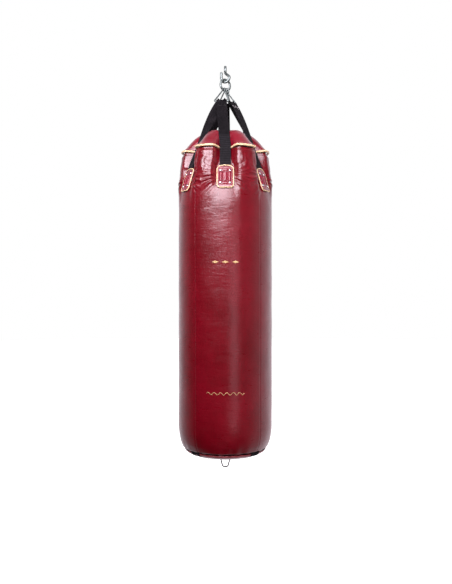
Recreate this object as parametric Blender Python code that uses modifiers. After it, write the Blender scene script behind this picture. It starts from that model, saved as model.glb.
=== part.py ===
"""Heavy punching bag, 350 mm across, hung by six webbing legs from a ring and an S-hook.

Metres, +Z up, the bag's front towards -Y. The origin is the point where the S-hook bears
on whatever it hangs from, so the whole bag lies below it. Azimuths are measured about +Z
from the front: 0 is the front, 90 the right-hand side seen from the front.
"""

import math

import bmesh
import bpy
from mathutils import Matrix, Vector

GAP = 0.0003

# Heights above the bag's underside, and the underside's depth below the hanging point.
UNDERSIDE_Z = -1.4535
BODY_R = 0.175
LEATHER = 0.0025
SEAM_GAP = 0.0006
SIDES_AROUND = 48
SEAM_AZIMUTHS = (-36.0, 45.0, 135.0, 225.0)
PANEL_NAMES = ("front_panel", "right_panel", "back_panel", "left_panel")

# Side wall, bottom to top: (height, radius between the webbing legs, radius under a leg).
SIDE_ROWS = (
    (0.0345, 0.1560, 0.1560),
    (0.042, 0.161, 0.161),
    (0.058, 0.168, 0.168),
    (0.086, 0.1735, 0.1735),
    (0.111, BODY_R, BODY_R),
    (0.450, BODY_R, BODY_R),
    (0.750, BODY_R, BODY_R),
    (0.930, BODY_R, 0.1745),
    (0.977, BODY_R, 0.170),
    (1.018, 0.1745, 0.1581),
    (1.057, 0.1705, 0.1452),
    (1.092, 0.166, 0.1300),
    (1.127, 0.160, 0.1125),
)
# Top cap, rim to crown: (radius, height) between the legs, then the same under a leg.
CROWN_ROWS = (
    (0.158, 1.1395, 0.1105, 1.1395),
    (0.147, 1.1440, 0.104, 1.149),
    (0.122, 1.1655, 0.094, 1.165),
    (0.1075, 1.1810, 0.086, 1.177),
    (0.088, 1.1960, 0.076, 1.189),
    (0.064, 1.2055, 0.060, 1.201),
    (0.038, 1.2105, 0.038, 1.209),
)
CROWN_HEIGHT = 1.213
GROOVE_FLAT = 14.5
GROOVE_EDGE = 22.5

# Cream piping in the seam between the side wall and the top cap.
PIPING_R = 0.0042
PIPING_HEIGHT = 1.133
PIPING_RIDGE_R = 0.1615
PIPING_GROOVE_R = 0.1120

# Webbing legs and the leather patches riveted over their ends.
LEG_AZIMUTHS = (0, 60, 120, 180, 240, 300)
WEB_WIDTH = 0.040
WEB_THICK = 0.0025
PATCH_WIDTH = 0.056
PATCH_LENGTH = 0.076
PATCH_THICK = 0.002
PATCH_CORNER = 0.010
PATCH_PIPING_R = 0.0022
LEG_END = -0.027
# How far a leg stands out from the straight line between its link and the rim.
LEG_BULGE = 0.006
RIVET_SPACING = (0.034, 0.0475)
RIVET_HEAD_R = 0.0044
RIVET_HEAD_RISE = 0.0024
RIVET_SHANK_R = 0.0016
RIVET_TAIL = 0.0012
RIVET_HOLE_R = 0.0019
RIVET_HOLE_DEPTH = 0.016

# Hanging hardware.
HOOK_WIRE_R = 0.005
HOOK_TOP_R = 0.015
HOOK_LOW_R = 0.0165
HOOK_LOW_Z = -0.051
HOOK_LOW_YAW = -25.0
HOOK_NOSE = 0.003
HOOK_TAIL = 0.019
# How strongly the rod between the two bends keeps to the vertical.
HOOK_EASE = 0.007
RING_WIRE_R = 0.004
RING_R = 0.021
RING_YAW = 33.0
RING_TOP_Z = HOOK_LOW_Z + HOOK_WIRE_R + RING_WIRE_R + GAP
RING_LOW_Z = RING_TOP_Z - 2 * RING_R
LINK_WIRE_R = 0.0025
LINK_EYE = RING_WIRE_R + LINK_WIRE_R + 0.0008
LINK_BAR_HALF = 0.0285
LINK_BAR_Z = -0.1321
LINK_BENDS = (0.0065, 0.0065, 0.006, 0.0045, 0.0045, 0.006)
# Each link: name, place along the ring's wire, bar centre (x, y), bar direction in degrees,
# and the legs whose webbing comes off its outer and its inner side.
LINKS = (
    ("front_link", -0.0085, (-0.0145, -0.032), -6.0, 0, 300),
    ("right_link", 0.0095, (0.0265, -0.003), 50.0, 60, 120),
    ("back_link", -0.0002, (-0.004, 0.033), 160.0, 180, 240),
)
# Length of a link's eye from its crown to where its two legs spread.
LINK_NECK = 0.0105
# Which bar end (0 or 1) each link's front-side and back-side leg of wire runs to.
EYE_SIDES = {"front_link": (1, 0), "right_link": (0, 1), "back_link": (0, 1)}
WEB_NAMES = ("front_webbing", "right_webbing", "back_webbing")
# Degrees round the bar, from its outer side over the top, that the webbing touches.
FOLD_FROM = 25
FOLD_TO = 205
FOLD_STEP = 20

# Foam sleeve inside the leather, and the filling's ends: (radius, height).
SLEEVE_CLEARANCE = 0.005
SLEEVE_THICK = 0.009
FILLING_CLEARANCE = 0.001
FILLING_TOP = ((0.0, 1.202), (0.040, 1.198), (0.068, 1.178), (0.085, 1.155), (0.094, 1.130))
FILLING_BASE = ((0.110, 0.016), (0.0, 0.008))

# Underside: crossed webbing, the stirrup tab and the tether ring.
BOTTOM_ROWS = (
    (0.1503, 0.0272),
    (0.1435, 0.0205),
    (0.125, 0.013),
    (0.095, 0.005),
    (0.050, 0.0012),
)
WELT_R = 0.0020
WELT_AT = (0.1540, 0.0308)
CROSS_THICK = 0.002
CROSS_REACH = 0.1475
CROSS_AZIMUTHS = (-45.0, 45.0)
CROSS_STATIONS = (0.0, 0.012, 0.024, 0.040, 0.050, 0.095, 0.125, 0.1435, CROSS_REACH)
# The upper band lies flat this far from the middle, then comes down over the next stretch.
CROSS_FLAT = 0.025
CROSS_RAMP = 0.015
SLOPE_STEP = 0.001
TAB_WIDTH = 0.025
TAB_FLANGE = 0.022
TAB_BEND = 0.002
TETHER_WIRE_R = 0.00225
TETHER_BAR_HALF = 0.0180
TETHER_FOOT_HALF = 0.0096
TETHER_BENDS = (0.0035, 0.0035, 0.0085, 0.0085)
TETHER_DROP = 0.0322
TETHER_HEIGHT = -0.0150
TETHER_SLACK = 0.0005


def clear_scene():
    for obj in list(bpy.data.objects):
        bpy.data.objects.remove(obj, do_unlink=True)


def make_collection(name):
    collection = bpy.data.collections.new(name)
    bpy.context.scene.collection.children.link(collection)
    return collection


def make_material(name, color, roughness, metallic=0.0):
    material = bpy.data.materials.new(name)
    material.use_nodes = True
    shader = material.node_tree.nodes["Principled BSDF"]
    shader.inputs["Base Color"].default_value = (*color, 1.0)
    shader.inputs["Roughness"].default_value = roughness
    shader.inputs["Metallic"].default_value = metallic
    material.diffuse_color = (*color, 1.0)
    return material


def add_object(name, data, material, collection):
    obj = bpy.data.objects.new(name, data)
    collection.objects.link(obj)
    if material is not None:
        data.materials.append(material)
    return obj


def smooth_step(value):
    value = min(max(value, 0.0), 1.0)
    return value * value * (3.0 - 2.0 * value)


def radial(azimuth):
    angle = math.radians(azimuth)
    return Vector((math.sin(angle), -math.cos(angle), 0.0))


def along(angle_deg):
    angle = math.radians(angle_deg)
    return Vector((math.cos(angle), math.sin(angle), 0.0))


def at_height(height):
    return UNDERSIDE_Z + height


def groove(azimuth):
    """1 under a webbing leg, 0 on the ridge between two legs."""
    off = abs((azimuth + 30.0) % 60.0 - 30.0)
    return 1.0 - smooth_step((off - GROOVE_FLAT) / (GROOVE_EDGE - GROOVE_FLAT))


def mesh_from_rows(name, rows, closed=False, tip=None):
    """Open surface through rows of points; closed joins each row's ends, tip closes the last."""
    build = bmesh.new()
    grid = [[build.verts.new(point) for point in row] for row in rows]
    count = len(grid[0])
    spans = count if closed else count - 1
    for low, high in zip(grid, grid[1:]):
        for i in range(spans):
            j = (i + 1) % count
            build.faces.new((low[i], low[j], high[j], high[i]))
    if tip is not None:
        crown = build.verts.new(tip)
        for i in range(spans):
            build.faces.new((grid[-1][i], grid[-1][(i + 1) % count], crown))
    mesh = bpy.data.meshes.new(name)
    build.to_mesh(mesh)
    build.free()
    mesh.shade_smooth()
    return mesh


def solidify(obj, thickness, offset):
    shell = obj.modifiers.new("thickness", "SOLIDIFY")
    shell.thickness = thickness
    shell.offset = offset
    shell.use_even_offset = True
    return shell


def cut(obj, cutter):
    hole = obj.modifiers.new("holes", "BOOLEAN")
    hole.operation = "DIFFERENCE"
    hole.solver = "EXACT"
    hole.object = cutter
    return hole


def make_tube(name, points, radius, material, collection, cyclic=False, sides=2):
    curve = bpy.data.curves.new(name, "CURVE")
    curve.dimensions = "3D"
    curve.bevel_depth = radius
    curve.bevel_resolution = sides
    curve.use_fill_caps = True
    spline = curve.splines.new("POLY")
    spline.points.add(len(points) - 1)
    for target, point in zip(spline.points, points):
        target.co = (*point, 1.0)
        target.radius = 1.0
    spline.use_cyclic_u = cyclic
    spline.use_smooth = True
    return add_object(name, curve, material, collection)


def make_turned(name, profile, material, collection, steps=32):
    """Profile of (radius, z) down the outer side, both ends on the axis or the outline closed."""
    mesh = bpy.data.meshes.new(name)
    build = bmesh.new()
    verts = [build.verts.new((r, 0.0, z)) for r, z in profile]
    for first, second in zip(verts, verts[1:]):
        build.edges.new((first, second))
    if profile[0][0] > 0.0:
        build.edges.new((verts[-1], verts[0]))
    build.to_mesh(mesh)
    build.free()
    obj = add_object(name, mesh, material, collection)
    screw = obj.modifiers.new("turn", "SCREW")
    screw.steps = steps
    screw.render_steps = steps
    screw.use_merge_vertices = True
    screw.merge_threshold = 0.00001
    screw.use_smooth_shade = True
    return obj


def round_corners(corners, radii, steps=5):
    """Closed outline through corners, each rounded by an arc of its own radius."""
    points = []
    count = len(corners)
    for i, corner in enumerate(corners):
        back = (corners[i - 1] - corner).normalized()
        ahead = (corners[(i + 1) % count] - corner).normalized()
        half = back.angle(ahead) / 2
        reach = radii[i] / math.tan(half)
        centre = corner + (back + ahead).normalized() * radii[i] / math.sin(half)
        start = corner + back * reach - centre
        end = corner + ahead * reach - centre
        for k in range(steps + 1):
            spoke = start.lerp(end, k / steps).normalized()
            points.append(centre + spoke * radii[i])
    return points


def leg_frame(azimuth):
    """Axes on the flat that a leg's patch lies on: x across, y up the wall, z outwards."""
    low, middle, high = SIDE_ROWS[8:11]
    out = radial(azimuth)
    up = (out * (high[2] - low[2]) + Vector((0, 0, high[0] - low[0]))).normalized()
    across = along(azimuth)
    centre = out * middle[2] + Vector((0, 0, at_height(middle[0])))
    frame = Matrix((across, up, across.cross(up))).transposed().to_4x4()
    frame.translation = centre
    return frame


def side_point(row, azimuth):
    height, ridge, under = row
    mix = groove(azimuth)
    radius = ridge * (1.0 - mix) + under * mix
    return radial(azimuth) * radius + Vector((0, 0, at_height(height)))


def make_panels(material, collection, rivet_holes):
    step = 360.0 / SIDES_AROUND
    grid = [step * k for k in range(-SIDES_AROUND, 2 * SIDES_AROUND)]
    half_gap = math.degrees(SEAM_GAP / 2 / BODY_R)
    for i, name in enumerate(PANEL_NAMES):
        start = SEAM_AZIMUTHS[i] + half_gap
        end = SEAM_AZIMUTHS[(i + 1) % 4] + (360.0 if i == 3 else 0.0) - half_gap
        azimuths = [start] + [a for a in grid if start + 1.0 < a < end - 1.0] + [end]
        rows = [[side_point(row, azimuth) for azimuth in azimuths] for row in SIDE_ROWS]
        panel = add_object(name, mesh_from_rows(name, rows), material, collection)
        solidify(panel, LEATHER, -1.0)
        cut(panel, rivet_holes)


def make_crown(material, collection):
    azimuths = [360.0 / SIDES_AROUND * k for k in range(SIDES_AROUND)]
    rows = []
    for ridge_r, ridge_h, under_r, under_h in CROWN_ROWS:
        row = []
        for azimuth in azimuths:
            mix = groove(azimuth)
            radius = ridge_r * (1.0 - mix) + under_r * mix
            height = ridge_h * (1.0 - mix) + under_h * mix
            row.append(radial(azimuth) * radius + Vector((0, 0, at_height(height))))
        rows.append(row)
    tip = (0, 0, at_height(CROWN_HEIGHT))
    crown = add_object("top_cap", mesh_from_rows("top_cap", rows, True, tip), material, collection)
    solidify(crown, LEATHER, -1.0)


def make_rim_piping(material, collection):
    points = []
    for k in range(SIDES_AROUND):
        azimuth = 360.0 / SIDES_AROUND * k
        mix = groove(azimuth)
        radius = PIPING_RIDGE_R * (1.0 - mix) + PIPING_GROOVE_R * mix
        points.append(radial(azimuth) * radius + Vector((0, 0, at_height(PIPING_HEIGHT))))
    make_tube("rim_piping", points, PIPING_R, material, collection, cyclic=True, sides=1)


def make_filling(foam, textile, collection):
    """A foam sleeve inside the leather, and the packed textile that fills it."""
    rows = SIDE_ROWS[1:12]
    outer = [(under - SLEEVE_CLEARANCE, at_height(height)) for height, _, under in rows]
    outer.reverse()
    inner = [(radius - SLEEVE_THICK, z) for radius, z in reversed(outer)]
    make_turned("foam_sleeve", outer + inner, foam, collection, steps=24)
    wall = [(radius - SLEEVE_THICK - FILLING_CLEARANCE, z) for radius, z in outer]
    top = [(radius, at_height(height)) for radius, height in FILLING_TOP]
    base = [(radius, at_height(height)) for radius, height in FILLING_BASE]
    make_turned("packed_filling", top + wall + base, textile, collection, steps=24)


def make_bottom(leather, welt, collection):
    profile = [(radius, at_height(height)) for radius, height in BOTTOM_ROWS]
    outside = profile + [(0.0, at_height(0.0))]
    inside = [(radius, z + LEATHER) for radius, z in reversed(outside)]
    make_turned("bottom_cap", inside + outside, leather, collection, steps=40)
    points = []
    for k in range(SIDES_AROUND):
        centre = radial(360.0 / SIDES_AROUND * k) * WELT_AT[0]
        points.append(centre + Vector((0, 0, at_height(WELT_AT[1]))))
    make_tube("bottom_welt", points, WELT_R, welt, collection, cyclic=True, sides=1)


def patch_outline(width, length, corner):
    x, y = width / 2, length / 2
    corners = [Vector(c) for c in ((-x, -y, 0), (x, -y, 0), (x, y, 0), (-x, y, 0))]
    return round_corners(corners, [corner] * 4, steps=3)


def make_patch(azimuth, leather, cream, steel, collection, rivet_holes):
    frame = leg_frame(azimuth)
    bottom = 2 * GAP + WEB_THICK
    outline = patch_outline(PATCH_WIDTH, PATCH_LENGTH, PATCH_CORNER)
    curve = bpy.data.curves.new("patch", "CURVE")
    curve.dimensions = "2D"
    curve.fill_mode = "BOTH"
    curve.extrude = PATCH_THICK / 2
    spline = curve.splines.new("POLY")
    spline.points.add(len(outline) - 1)
    for target, point in zip(spline.points, outline):
        target.co = (point.x, point.y, 0.0, 1.0)
    spline.use_cyclic_u = True
    flat = add_object("patch_outline", curve, None, collection)
    flat.matrix_world = frame @ Matrix.Translation((0, 0, bottom + PATCH_THICK / 2))
    patch = mesh_of_curve(flat, f"strap_patch_{azimuth:03d}", leather, collection)
    cut(patch, rivet_holes)
    edge = patch_outline(
        PATCH_WIDTH + 2 * (PATCH_PIPING_R + GAP),
        PATCH_LENGTH + 2 * (PATCH_PIPING_R + GAP),
        PATCH_CORNER + PATCH_PIPING_R,
    )
    lift = bottom + PATCH_PIPING_R
    points = [frame @ (point + Vector((0, 0, lift))) for point in edge]
    name = f"patch_piping_{azimuth:03d}"
    make_tube(name, points, PATCH_PIPING_R, cream, collection, cyclic=True, sides=1)
    for number, place in enumerate(rivet_places()):
        make_rivet(f"rivet_{azimuth:03d}_{number + 1}", frame, place, steel, collection)


def mesh_of_curve(curve_object, name, material, collection):
    bpy.context.view_layer.update()
    depsgraph = bpy.context.evaluated_depsgraph_get()
    mesh = bpy.data.meshes.new_from_object(curve_object.evaluated_get(depsgraph))
    build = bmesh.new()
    build.from_mesh(mesh)
    bmesh.ops.remove_doubles(build, verts=build.verts, dist=0.000001)
    build.to_mesh(mesh)
    build.free()
    mesh.materials.clear()
    obj = add_object(name, mesh, material, collection)
    obj.matrix_world = curve_object.matrix_world.copy()
    bpy.data.objects.remove(curve_object, do_unlink=True)
    return obj


def rivet_places():
    x, y = RIVET_SPACING[0] / 2, RIVET_SPACING[1] / 2
    return ((-x, -y), (x, -y), (-x, y), (x, y))


def make_rivet(name, frame, place, material, collection):
    seat = 2 * GAP + WEB_THICK + PATCH_THICK + GAP
    tail = -LEATHER - RIVET_TAIL
    profile = [(0.0, seat + RIVET_HEAD_RISE)]
    for degrees in (40, 80):
        angle = math.radians(degrees)
        rise = RIVET_HEAD_RISE * math.cos(angle)
        profile.append((RIVET_HEAD_R * math.sin(angle), seat + rise))
    profile += [(RIVET_HEAD_R, seat), (RIVET_SHANK_R, seat), (RIVET_SHANK_R, tail), (0.0, tail)]
    rivet = make_turned(name, profile, material, collection, steps=8)
    rivet.matrix_world = frame @ Matrix.Translation((place[0], place[1], 0.0))


def make_rivet_holes(collection):
    """One cutter with a rod where each rivet's shank passes the patch, webbing and wall."""
    build = bmesh.new()
    for azimuth in LEG_AZIMUTHS:
        frame = leg_frame(azimuth)
        for x, y in rivet_places():
            bmesh.ops.create_cone(
                build,
                cap_ends=True,
                segments=8,
                radius1=RIVET_HOLE_R,
                radius2=RIVET_HOLE_R,
                depth=RIVET_HOLE_DEPTH,
                matrix=frame @ Matrix.Translation((x, y, 0.0)),
            )
    mesh = bpy.data.meshes.new("rivet_holes")
    build.to_mesh(mesh)
    build.free()
    cutter = add_object("rivet_holes", mesh, None, collection)
    cutter.hide_render = True
    cutter.display_type = "WIRE"
    return cutter


def leg_path(azimuth, start, bar_direction):
    """(centre, across) pairs from the link's bar down to the leg's end under its patch."""
    frame = leg_frame(azimuth)
    out = radial(azimuth)
    lift = GAP + WEB_THICK / 2
    rim_r = PIPING_GROOVE_R + PIPING_R + GAP + WEB_THICK / 2 + 0.0005
    rim = out * rim_r + Vector((0, 0, at_height(PIPING_HEIGHT + 0.001)))
    turn = (azimuth - bar_direction + 90.0) % 180.0 - 90.0
    path = []
    steps = 8
    for k in range(1, steps + 1):
        share = k / steps
        centre = start.lerp(rim, share) + out * LEG_BULGE * math.sin(math.pi * share ** 0.8)
        path.append((centre, along(bar_direction + turn * smooth_step(share))))
    flip = -1.0 if path[-1][1].dot(along(azimuth)) < 0 else 1.0
    across = along(azimuth) * flip
    patch_top = PATCH_LENGTH / 2 + 0.006
    for y in (patch_top, 0.0, LEG_END):
        path.append((frame @ Vector((0.0, y, lift)), across))
    return path


def make_webbing(name, link, material, collection, rivet_holes):
    """One length of webbing: up one leg, over the link's bar and down the next leg."""
    _, _, centre, direction, outer, inner = link
    bar = Vector((*centre, LINK_BAR_Z))
    out = Vector((math.sin(math.radians(direction)), -math.cos(math.radians(direction)), 0))
    fold_r = LINK_WIRE_R + GAP + WEB_THICK / 2
    fold = []
    for degrees in range(FOLD_FROM, FOLD_TO + 1, FOLD_STEP):
        angle = math.radians(degrees)
        spoke = out * math.cos(angle) + Vector((0, 0, math.sin(angle)))
        fold.append((bar + spoke * fold_r, along(direction)))
    down_outer = leg_path(outer, fold[0][0], direction)
    down_inner = leg_path(inner, fold[-1][0], direction)
    path = down_outer[::-1] + fold + down_inner
    rows = []
    for point, across in path:
        rows.append([point - across * WEB_WIDTH / 2, point, point + across * WEB_WIDTH / 2])
    webbing = add_object(name, mesh_from_rows(name, rows), material, collection)
    solidify(webbing, WEB_THICK, 0.0)
    cut(webbing, rivet_holes)


def make_hook(material, collection):
    """S-hook: upper arch seen from its edge, lower U turned to it by HOOK_LOW_YAW."""
    points = []
    arch = Vector((0, 0, -HOOK_TOP_R + HOOK_WIRE_R))
    points.append(arch + Vector((0, -HOOK_TOP_R, -HOOK_NOSE)))
    for k in range(11):
        angle = math.pi * k / 10
        spoke = Vector((0, -math.cos(angle), math.sin(angle)))
        points.append(arch + spoke * HOOK_TOP_R)
    side = along(HOOK_LOW_YAW)
    low = Vector((0, 0, HOOK_LOW_Z + HOOK_LOW_R))
    start, end = points[-1], low + side * HOOK_LOW_R
    reach = Vector((0, 0, HOOK_EASE))
    for k in range(1, 8):
        t = k / 8
        bend = start * (1 - t) ** 3 + (start - reach) * 3 * t * (1 - t) ** 2
        points.append(bend + (end + reach) * 3 * t * t * (1 - t) + end * t ** 3)
    for k in range(13):
        angle = math.pi * k / 12
        spoke = side * math.cos(angle) - Vector((0, 0, math.sin(angle)))
        points.append(low + spoke * HOOK_LOW_R)
    points.append(points[-1] + Vector((0, 0, HOOK_TAIL)))
    make_tube("s_hook", points, HOOK_WIRE_R, material, collection, sides=3)


def make_ring(material, collection):
    bpy.ops.mesh.primitive_torus_add(
        major_segments=40,
        minor_segments=10,
        major_radius=RING_R,
        minor_radius=RING_WIRE_R,
        location=(0, 0, RING_LOW_Z + RING_R),
        rotation=(math.pi / 2, 0, math.radians(RING_YAW)),
    )
    ring = bpy.context.active_object
    ring.name = "hanging_ring"
    ring.data.materials.append(material)
    ring.data.shade_smooth()
    for owner in list(ring.users_collection):
        owner.objects.unlink(ring)
    collection.objects.link(ring)


def make_link(link, material, collection):
    """Bent wire: an eye round the ring's wire, two legs and a straight bar for the webbing."""
    name, place, centre, direction, _, _ = link
    wire = along(RING_YAW)
    normal = along(RING_YAW + 90.0)
    spoke = math.asin(place / RING_R)
    inward = Vector((0, 0, math.cos(spoke))) - wire * math.sin(spoke)
    eye = Vector((0, 0, RING_LOW_Z + RING_R)) - inward * (RING_R - LINK_EYE)
    bar = Vector((*centre, LINK_BAR_Z))
    ends = [bar - along(direction) * LINK_BAR_HALF, bar + along(direction) * LINK_BAR_HALF]
    near, far = EYE_SIDES[name]
    corners = [eye + normal * LINK_EYE, eye - normal * LINK_EYE]
    neck = inward * LINK_NECK
    corners += [corners[1] - neck, ends[near], ends[far], corners[0] - neck]
    points = round_corners(corners, LINK_BENDS)
    make_tube(name, points, LINK_WIRE_R, material, collection, cyclic=True, sides=2)


def bottom_surface(distance):
    """Height of the bottom cap's outside at a distance from the axis."""
    rows = [(0.0, 0.0)] + sorted(BOTTOM_ROWS)
    for (r0, h0), (r1, h1) in zip(rows, rows[1:]):
        if distance <= r1:
            return h0 + (h1 - h0) * (distance - r0) / (r1 - r0)
    return rows[-1][1]


def make_cross(material, collection):
    """Two webbing bands under the bag; the second steps over the first in the middle."""
    places = [-s for s in reversed(CROSS_STATIONS[1:])] + list(CROSS_STATIONS)
    for number, azimuth in enumerate(CROSS_AZIMUTHS):
        out = radial(azimuth)
        across = along(azimuth) * WEB_WIDTH / 2
        rows = []
        for place in places:
            over = 1.0 - smooth_step((abs(place) - CROSS_FLAT) / CROSS_RAMP)
            base = bottom_surface(abs(place))
            slope = (bottom_surface(abs(place) + SLOPE_STEP) - base) / SLOPE_STEP
            drop = (GAP + CROSS_THICK / 2) * math.hypot(1.0, slope)
            drop += number * over * (CROSS_THICK + 2 * GAP)
            height = base - drop
            point = out * place + Vector((0, 0, at_height(height)))
            rows.append([point - across, point + across])
        name = ("under_band", "over_band")[number]
        band = add_object(name, mesh_from_rows(name, rows), material, collection)
        solidify(band, CROSS_THICK, 0.0)


def make_tab(material, collection):
    """Stirrup of webbing under the crossing, with the tether ring's bar in its bend."""
    top = -(4 * GAP + 2 * CROSS_THICK + CROSS_THICK / 2)
    loop_r = TETHER_WIRE_R + TETHER_SLACK + CROSS_THICK / 2
    half = [(TAB_FLANGE, top), (loop_r + TAB_BEND, top), (loop_r, top - TAB_BEND)]
    bend = []
    for k in range(9):
        angle = math.pi * k / 8
        bend.append((loop_r * math.cos(angle), TETHER_HEIGHT - loop_r * math.sin(angle)))
    path = half + bend + [(-y, h) for y, h in reversed(half)]
    rows = []
    for y, height in path:
        z = at_height(height)
        rows.append([Vector((x * TAB_WIDTH / 2, y, z)) for x in (-1, 1)])
    tab = add_object("ring_tab", mesh_from_rows("ring_tab", rows), material, collection)
    solidify(tab, CROSS_THICK, 0.0)


def make_tether_ring(material, collection):
    pivot = Vector((0, 0, at_height(TETHER_HEIGHT)))
    corners = [
        Vector((-TETHER_BAR_HALF, 0, 0)),
        Vector((TETHER_BAR_HALF, 0, 0)),
        Vector((TETHER_FOOT_HALF, 0, -TETHER_DROP)),
        Vector((-TETHER_FOOT_HALF, 0, -TETHER_DROP)),
    ]
    points = round_corners(corners, TETHER_BENDS)
    ring = make_tube("tether_ring", points, TETHER_WIRE_R, material, collection, True, 2)
    ring.location = pivot


def hang_from_pivot(name, z, yaw, members, collection):
    """Empty on a hinge line, its X along the hinge, carrying the members where they stand."""
    pivot = add_object(name, None, None, collection)
    pivot.empty_display_size = RING_R
    pivot.location = (0, 0, z)
    pivot.rotation_euler = (0, 0, math.radians(yaw))
    bpy.context.view_layer.update()
    for member in members:
        member.parent = pivot
        member.matrix_parent_inverse = pivot.matrix_world.inverted()


def main():
    clear_scene()
    parts = make_collection("heavy_punching_bag")
    cutters = make_collection("cutters")
    leather = make_material("burgundy_leather", (0.19, 0.012, 0.03), 0.28)
    cream = make_material("cream_piping", (0.72, 0.55, 0.32), 0.45)
    webbing = make_material("black_webbing", (0.02, 0.017, 0.02), 0.85)
    foam = make_material("lining_foam", (0.62, 0.60, 0.55), 0.9)
    textile = make_material("textile_filling", (0.33, 0.31, 0.30), 0.95)
    zinc = make_material("zinc_plated_steel", (0.62, 0.64, 0.66), 0.28, 1.0)
    rivet_steel = make_material("rivet_steel", (0.72, 0.72, 0.73), 0.2, 1.0)
    ring_steel = make_material("dark_ring_steel", (0.22, 0.22, 0.23), 0.35, 1.0)
    rivet_holes = make_rivet_holes(cutters)
    make_hook(zinc, parts)
    make_ring(zinc, parts)
    for link, name in zip(LINKS, WEB_NAMES):
        make_link(link, zinc, parts)
        make_webbing(name, link, webbing, parts, rivet_holes)
    for azimuth in LEG_AZIMUTHS:
        make_patch(azimuth, leather, cream, rivet_steel, parts, rivet_holes)
    make_panels(leather, parts, rivet_holes)
    make_crown(leather, parts)
    make_rim_piping(cream, parts)
    make_filling(foam, textile, parts)
    make_bottom(leather, leather, parts)
    make_cross(webbing, parts)
    make_tab(webbing, parts)
    make_tether_ring(ring_steel, parts)
    ring = parts.objects["hanging_ring"]
    bag = [obj for obj in parts.objects if obj.name not in ("s_hook", "hanging_ring")]
    hang_from_pivot("ring_pivot", HOOK_LOW_Z, HOOK_LOW_YAW, [ring], parts)
    hang_from_pivot("bag_pivot", RING_LOW_Z, RING_YAW, bag, parts)


main()
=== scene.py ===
import math

import bpy
import numpy as np
from mathutils import Matrix, Vector, noise


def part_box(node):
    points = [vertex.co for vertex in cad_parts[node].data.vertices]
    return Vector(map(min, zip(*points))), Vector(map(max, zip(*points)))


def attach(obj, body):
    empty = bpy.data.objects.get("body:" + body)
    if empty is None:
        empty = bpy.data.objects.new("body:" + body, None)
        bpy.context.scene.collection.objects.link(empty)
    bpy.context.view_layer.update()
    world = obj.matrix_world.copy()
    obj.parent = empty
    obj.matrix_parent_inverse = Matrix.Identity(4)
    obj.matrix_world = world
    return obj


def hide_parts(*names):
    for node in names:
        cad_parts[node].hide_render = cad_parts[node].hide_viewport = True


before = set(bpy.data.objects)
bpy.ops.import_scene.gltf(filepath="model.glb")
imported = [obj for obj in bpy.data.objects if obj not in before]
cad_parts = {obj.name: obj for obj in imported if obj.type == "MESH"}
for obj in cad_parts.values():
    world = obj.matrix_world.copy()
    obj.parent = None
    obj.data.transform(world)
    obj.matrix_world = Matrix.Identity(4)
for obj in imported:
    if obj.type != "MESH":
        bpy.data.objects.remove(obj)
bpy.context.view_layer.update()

# Driving sizes, in metres and degrees, worked out from the frame where it gives them.
UNDERSIDE_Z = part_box("bottom_cap")[0].z
BODY_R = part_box("right_panel")[1].x
LEATHER = 0.0022
SEAMS = (-38.0, 46.0, 135.0, 225.0)
PANELS = ("front_panel", "right_panel", "back_panel", "left_panel")
LEG_STEP = 60
LEGS = range(0, 360, LEG_STEP)

# Wall, bottom to top: height, radius on the ridge between two legs, radius under a leg.
WALL = np.array((
    (0.0335, 0.1555, 0.1555),
    (0.042, 0.161, 0.161),
    (0.058, 0.168, 0.168),
    (0.086, 0.1735, 0.1735),
    (0.111, BODY_R, BODY_R),
    (0.45, BODY_R, BODY_R),
    (0.75, BODY_R, BODY_R),
    (0.93, BODY_R, 0.1745),
    (0.977, BODY_R, 0.17),
    (1.018, 0.1745, 0.1581),
    (1.057, 0.1705, 0.1452),
    (1.092, 0.166, 0.13),
    (1.129, 0.16, 0.1125),
))
HEM, RIM = WALL[0, 0], WALL[-1, 0]
# Top cap, rim to crown: ridge radius and height, radius and height under a leg.
CROWN = np.array((
    (0.158, 1.1395, 0.1105, 1.1395),
    (0.148, 1.15, 0.104, 1.149),
    (0.126, 1.175, 0.099, 1.168),
    (0.111, 1.189, 0.094, 1.183),
    (0.091, 1.2015, 0.082, 1.1965),
    (0.067, 1.2072, 0.062, 1.205),
    (0.04, 1.2085, 0.04, 1.2078),
    (0.0006, 1.209, 0.0006, 1.209),
))
# Bottom cap, axis to edge: radius and height.
BOTTOM = np.array((
    (0.0006, 0.0), (0.05, 0.0012), (0.095, 0.005), (0.125, 0.013), (0.1435, 0.0205), (0.1508, 0.0283),
))
# How far the wall and rim between two legs sag inwards beside each leg, and where that starts.
SAG, SAG_FROM, SAG_RISE = 0.014, 0.985, 0.09
# Height, half width and depth of the gutter below the rim seam, and of the roll below that.
RIM_GUTTER = (1.1225, 0.0032, 0.0034)
RIM_ROLL = (1.114, 0.005, 0.001)
CREASE_DEPTH, HEM_WAVE = 0.0025, 0.0013
RIM_TUCK, CROWN_TUCK, HEM_TUCK, BASE_PLEAT = 0.0008, 0.0007, 0.0011, 0.0007
# Depth, size, seed and stretch of the wall's low waves.
WALL_SWELL = (
    (0.0011, 0.085, 3.0, (1.0, 1.0, 1.0)),
    (0.0003, 0.03, 11.0, (1.0, 1.0, 1.0)),
    (0.00021, 0.02, 23.0, (0.22, 0.22, 1.0)),
)
FLANK_SWELL = (0.0015, 0.01, 41.0, (1.0, 1.0, 0.55))

PIPING_R = 0.0038
# Radius and height of the piping's middle between two legs and under a leg.
PIPING_RIDGE = (0.1622, 1.1352)
PIPING_GROOVE = (0.112, 1.1305)
WELT_R, WELT_AT = 0.0019, (0.1484, 0.0312)
FOAM_INSET, FOAM_THICK, FILLING_INSET = 0.0065, 0.0075, 0.01

WEB_WIDTH, WEB_THICK, WEB_GAP = 0.04, 0.0025, 0.0003
RIB_PITCH = 0.0075
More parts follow.
